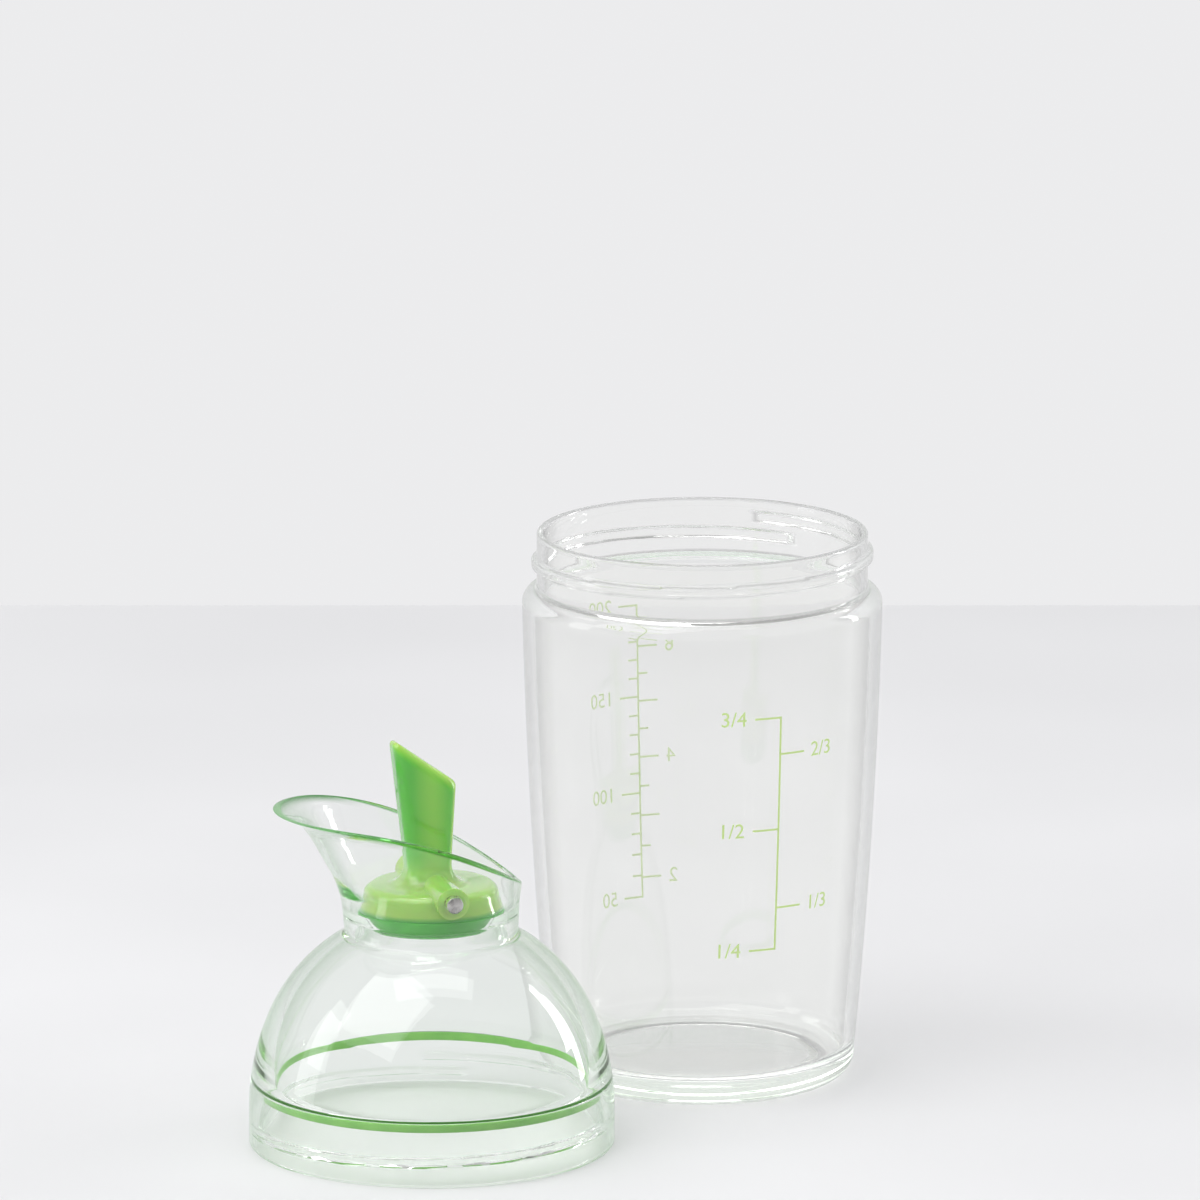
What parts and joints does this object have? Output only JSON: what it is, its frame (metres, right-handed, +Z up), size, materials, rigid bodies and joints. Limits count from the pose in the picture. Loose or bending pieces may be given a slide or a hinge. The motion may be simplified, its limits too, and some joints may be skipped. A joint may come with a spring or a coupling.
{
  "type": "salad dressing shaker bottle",
  "caption": "Clear open jar with a threaded neck, and beside it its clear domed pouring lid with a flared spout and a tipping thumb-lever stopper.",
  "frame": {"origin": "centre of the jar's base, on the table that the jar and the lid both stand on", "axes": "+Z up along the jar's axis; the viewer of the picture looks along +Y with +X to the right; the lid stands towards -X and -Y"},
  "size_m": [0.115, 0.1145, 0.102],
  "materials": {
    "clear_jar": "clear, polished",
    "clear_lid": "clear, polished",
    "gasket_rubber": "soft, satin",
    "pin_steel": "bright",
    "green_plastic": "translucent, polished",
    "seal_rubber": "soft, satin"
  },
  "bodies": {
    "jar": {"jar": "clear_jar"},
    "lid": {"lid": "clear_lid", "lid_gasket": "gasket_rubber", "pivot_pin": "pin_steel"},
    "lever": {"lever": "green_plastic", "stopper_seal": "seal_rubber"}
  },
  "joints": [
    {"name": "lid_lift", "type": "slide", "parent": "jar", "child": "lid", "axis": [0, 0, 1], "range_m": [0, 0.12]},
    {"name": "lever_tilt", "type": "hinge", "parent": "lid", "child": "lever", "pos_m": [-0.049, -0.04851, 0.04736], "axis": [-0.284, 0.9588, 0], "range_deg": [0, 50]}
  ]
}
